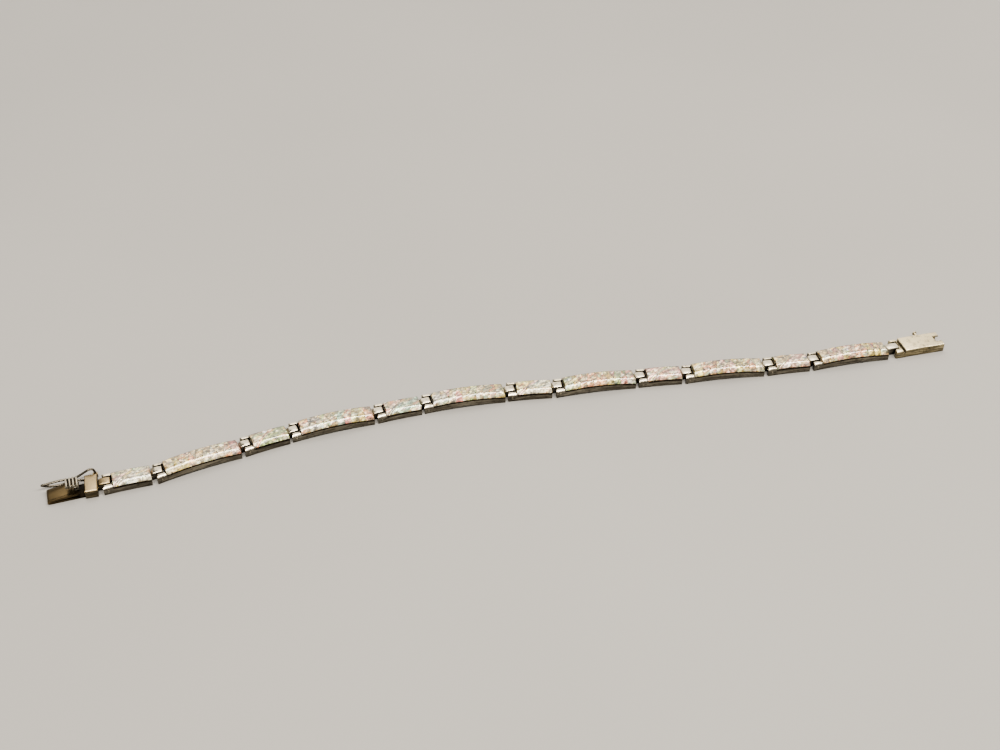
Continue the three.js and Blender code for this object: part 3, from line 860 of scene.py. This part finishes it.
def hinge_pin(number):
    """A pin, cut from round wire and riveted over at its two ends."""
    name = f"hinge_pin_{number:02d}"
    radius = 0.28
    link = LINK[min(number, LINKS)]
    half = WIDTH / 2
    profile = [
        (0, -half - 0.08),
        (radius * 0.55, -half - 0.07),
        (radius * 0.9, -half - 0.03),
        (radius, -half + 0.05),
        (radius, half - 0.05),
        (radius * 0.9, half + 0.03),
        (radius * 0.55, half + 0.07),
        (0, half + 0.08),
    ]
    centre = PINS_M[number - 1]
    turn = link.frame.to_euler().z if number <= LINKS else CLASP_YAW
    made = turned(profile, (0, 0, centre.z / MM), (0, 1, 0))
    piece(f"riveted_{name}", to_frame(made, frame_at(centre, turn)), sterling, [name])


# ---------------------------------------------------------------- end block, tongue, press and catch


def end_block():
    """The block that carries the tongue, with a shallow sunk panel in each side."""
    made = solid_copy("end_block")
    border, chamfer, sunk = 0.3 * MM, 0.08 * MM, 0.03 * MM
    for way in (-1, 1):
        sides = [f for f in made.faces if f.normal.y * way > 0.99 and f.calc_area() > 1.5 * MM * MM]
        if sides:
            panel = max(sides, key=lambda f: f.calc_area())
            bmesh.ops.inset_individual(made, faces=[panel], thickness=border, use_even_offset=True)
            bmesh.ops.inset_individual(made, faces=[panel], thickness=chamfer, depth=-sunk)
    ease_edges(made, 0.04 * MM)
    piece("silver_end_block", made, warm_sterling, ["end_block"])


def arc(x, z, radius, start, end, steps=10):
    angles = [math.radians(start + (end - start) * i / steps) for i in range(steps + 1)]
    return [(x + radius * math.cos(a), z + radius * math.sin(a)) for a in angles]


def spring_tongue():
    """A strip of brass folded back on itself, with file marks along its near edge."""
    thick, fold, fold_x, rest, half = 0.36, 0.42, -6.75, 0.05, 1.75
    shoulder_x, shoulder_top, tab_x, tab_top, anchor = -2.5, 1.42, -1.05, 1.15, 1.0
    centre = rest + fold
    inner = fold - thick
    outline = [(anchor, rest)] + arc(fold_x, centre, fold, 270, 90)
    outline += [(shoulder_x, shoulder_top), (shoulder_x + 0.05, tab_top), (tab_x, tab_top)]
    outline += [(tab_x, tab_top - thick), (shoulder_x - 0.4, tab_top - thick)]
    outline += arc(fold_x, centre, inner, 90, 270) + [(anchor, rest + thick)]
    whole = ease_edges(drawn_out(outline, -half, half), WORN_EDGE)
    piece("brass_tongue", to_frame(whole, TONGUE_FRAME), brass, ["spring_tongue"])
    filed = bmesh.new()
    marks = 15
    run = shoulder_x - fold_x
    pitch = run / marks
    climb = (shoulder_top - centre - fold) / run
    for i in range(marks):
        x = fold_x + (i + 0.5) * pitch
        z = centre + fold + climb * (x - fold_x)
        merge(filed, file_mark(x, -half, z - 0.02))
    piece("file_marks", to_frame(filed, TONGUE_FRAME), blackened)


def file_mark(x, y, z):
    """A slanting dark burr over the strip's near edge, left by a file."""
    made = turned(
        [(0, -0.4), (0.05, -0.34), (0.06, 0), (0.04, 0.34), (0, 0.4)],
        (0, 0, 0),
        Vector((-0.5, 0.62, 0.1)).normalized(),
        sides=10,
    )
    return to_frame(made, Matrix.Translation((x, y + 0.22, z)))


def thumb_press():
    """The ribbed press that springs the tongue, its ribs spread into feet at the near end."""
    tab_x, neck, under, thick, rib = -1.05, 0.35, 2.68, 0.32, 0.19
    length, width, tab_top = 2.3, 2.6, 1.18
    whole = bmesh.new()
    side = 0.72
    foot = block_of(tab_x - 0.9, tab_x, -side, side, tab_top, tab_top + neck)
    post = block_of(tab_x - neck, tab_x, -side, side, tab_top, under + 0.16)
    for part in (foot, post):
        merge(whole, ease_edges(part, WORN_EDGE))
    left, right = tab_x - length + 0.05, tab_x - 0.02
    # The plate under the ribs is black: painted shade in the gaps between them.
    plate = block_of(left, right, -width / 2, width / 2 - 0.06, under, under + thick - 0.05)
    piece("press_plate_painted_shade", to_frame(ease_edges(plate, 0.06), TONGUE_FRAME), blackened)
    ribs = 4
    pitch = (length - 2 * rib) / (ribs - 1)
    half = width / 2
    bar = [
        (0, -half - 0.1),
        (rib + 0.06, -half - 0.08),
        (rib + 0.11, -half),
        (rib + 0.09, -half + 0.12),
        (rib + 0.01, -half + 0.4),
        (rib, 0),
        (rib, half - 0.1),
        (rib * 0.8, half - 0.02),
        (0, half),
    ]
    for i in range(ribs):
        merge(whole, turned(bar, (tab_x - rib - i * pitch, 0, under + thick), (0, 1, 0), sides=18))
    piece("ribbed_press", to_frame(whole, TONGUE_FRAME), sterling, ["thumb_press"])


def smooth_run(points, steps=7):
    """Points along a smooth closed line through the given ones."""
    run = []
    count = len(points)
    for i in range(count):
        p0, p1, p2, p3 = (Vector(points[(i + k) % count]) for k in (-1, 0, 1, 2))
        for step in range(steps):
            t = step / steps
            bend = (2 * p0 - 5 * p1 + 4 * p2 - p3) * t * t + (3 * p1 - p0 - 3 * p2 + p3) * t**3
            run.append(0.5 * (2 * p1 + (p2 - p0) * t + bend))
    return run


def closed_wire(run, radius):
    """Round wire along a closed line that lies nearly in a plane of X and Z."""
    made = bmesh.new()
    rings = []
    across = Vector((0, 1, 0))
    for i, point in enumerate(run):
        along = (run[(i + 1) % len(run)] - run[i - 1]).normalized()
        out = along.cross(across).normalized()
        level = out.cross(along)
        turn = [2 * math.pi * k / WIRE_SIDES for k in range(WIRE_SIDES)]
        arms = [out * math.cos(a) + level * math.sin(a) for a in turn]
        rings.append([made.verts.new(point + radius * arm) for arm in arms])
    for i, ring in enumerate(rings):
        after = rings[(i + 1) % len(rings)]
        for k in range(WIRE_SIDES):
            j = (k + 1) % WIRE_SIDES
            made.faces.new([ring[k], ring[j], after[j], after[k]])
    return made


def safety_catch():
    """The figure-of-eight catch: one closed wire that crosses over itself near its middle."""
    side = 0.1  # the two strands pass beside each other
    wire_radius, block_width, tube_out = 0.235, 4.6, 0.56
    upper = [
        (0, 1.2),
        (0, 1.9),
        (-0.25, 2.52),
        (-0.95, 2.7),
        (-2.0, 2.22),
        (-3.1, 1.7),
        (-4.2, 1.3),
        (-5.3, 0.8),
        (-6.6, 0.55),
        (-8.1, 0.75),
        (-9.5, 1.25),
    ]
    tip = [(-9.97, 1.56)]
    lower = [
        (-9.5, 1.72),
        (-8.1, 1.8),
        (-6.6, 1.83),
        (-5.3, 1.68),
        (-4.2, 1.28),
        (-3.1, 0.86),
        (-2.0, 0.5),
        (-1.0, 0.28),
        (-0.3, 0.33),
        (0, 0.65),
    ]
    strands = ((upper, side), (tip, 0), (lower, -side))
    points = [(x, y, z) for strand, y in strands for x, z in strand]
    pivot = Vector((2.0, block_width / 2 + tube_out, 0))
    at = BLOCK_FRAME @ Matrix.Translation(pivot) @ Matrix.Rotation(CATCH_LEAN, 4, "Z")
    made = to_frame(closed_wire(smooth_run(points), wire_radius), at)
    piece("wire_catch", made, dark_sterling, ["safety_catch"], body="safety_catch")


# ---------------------------------------------------------------- clasp box


def clasp_box():
    """The box that the tongue snaps into, with a fine seam down its near side."""
    made = solid_copy("clasp_box")
    at = CLASP_FRAME
    inverse = at.inverted()
    seam_x, seam_half, seam_deep = 5.6, 0.05, 0.05
    across = (at.to_3x3() @ Vector((1, 0, 0))).normalized()
    for offset in (-seam_half, seam_half):
        cut_across(made, at @ Vector((seam_x + offset, 0, 0)), across)
    seam = []
    for face in made.faces:
        middle = inverse @ face.calc_center_median()
        if abs(middle.x - seam_x) < seam_half and middle.y < -WIDTH / 2 and face.normal.y < -0.9:
            seam.append(face)
    if seam:
        bmesh.ops.inset_individual(made, faces=seam, thickness=0.01 * MM, depth=-seam_deep * MM)
    ease_edges(made, WORN_EDGE * MM)
    piece("silver_clasp_box", made, creamy_sterling, ["clasp_box"])


# ---------------------------------------------------------------- the bracelet

for link in LINK.values():
    link_tray(link)
    black_seams(link)
    if link.kind == "short":
        short_inlay(link)
    else:
        long_inlay(link)
for number in range(1, LINKS + 2):
    hinge_pin(number)
end_block()
spring_tongue()
thumb_press()
safety_catch()
clasp_box()

# ---------------------------------------------------------------- camera, floor and light

CAMERA_PLACE_M = Vector((-0.0535, -0.2085, 0.1855))
HEADING = 13.7  # degrees from +Y towards +X
PITCH = 39.5  # degrees below the horizon
ROLL = -0.5
LENS = 50.4


def aim(heading, pitch, roll):
    """The turn of a camera that looks along a heading, down by a pitch."""
    turns = (("Z", -heading), ("X", 90 - pitch), ("Z", roll))
    matrix = Matrix.Identity(4)
    for axis, degrees in turns:
        matrix = matrix @ Matrix.Rotation(math.radians(degrees), 4, axis)
    return matrix


def make_camera():
    lens = bpy.data.cameras.new("camera")
    lens.lens = LENS
    lens.sensor_width = 36
    lens.clip_start, lens.clip_end = 0.01, 20
    camera = bpy.data.objects.new("camera", lens)
    camera.matrix_world = Matrix.Translation(CAMERA_PLACE_M) @ aim(HEADING, PITCH, ROLL)
    bpy.context.scene.collection.objects.link(camera)
    bpy.context.scene.camera = camera


def make_floor():
    made = bmesh.new()
    bmesh.ops.create_grid(made, x_segments=1, y_segments=1, size=3)
    mesh = bpy.data.meshes.new("floor")
    made.to_mesh(mesh)
    made.free()
    mesh.materials.append(matt_paper())
    floor = bpy.data.objects.new("floor", mesh)
    floor.location.z = cad_box[0].z - 0.01 * MM
    bpy.context.scene.collection.objects.link(floor)


def softbox(name, azimuth, elevation, distance, width, height, watts, tone):
    """A soft light that faces the bracelet. Azimuth is from -Y towards +X."""
    light = bpy.data.lights.new(name, "AREA")
    light.shape = "RECTANGLE"
    light.size, light.size_y = width, height
    light.energy = watts
    light.color = hex_to_linear(tone)[:3]
    lamp = bpy.data.objects.new(name, light)
    a, e = math.radians(azimuth), math.radians(elevation)
    lamp.location = distance * Vector((math.sin(a) * math.cos(e), -math.cos(a) * math.cos(e), math.sin(e)))
    lamp.rotation_euler = (-lamp.location).to_track_quat("-Z", "Y").to_euler()
    bpy.context.scene.collection.objects.link(lamp)


def room_light(strength):
    world = bpy.data.worlds.new("room")
    world.use_nodes = True
    sky = world.node_tree.nodes["Background"]
    sky.inputs["Color"].default_value = hex_to_linear("f3f1ec")
    sky.inputs["Strength"].default_value = strength
    bpy.context.scene.world = world


make_camera()
make_floor()
room_light(0.28)
# The strip lights the near slopes, the overhead box the tops, and the far card is what the tops mirror.
softbox("near_strip", 14, 60, 0.75, 1.25, 0.09, 13.5, "fff8ee")
softbox("overhead", 170, 64, 0.8, 0.6, 0.4, 3.9, "fff6ea")
softbox("far_card", 165, 36, 0.9, 1.3, 0.5, 3.6, "fff8ee")
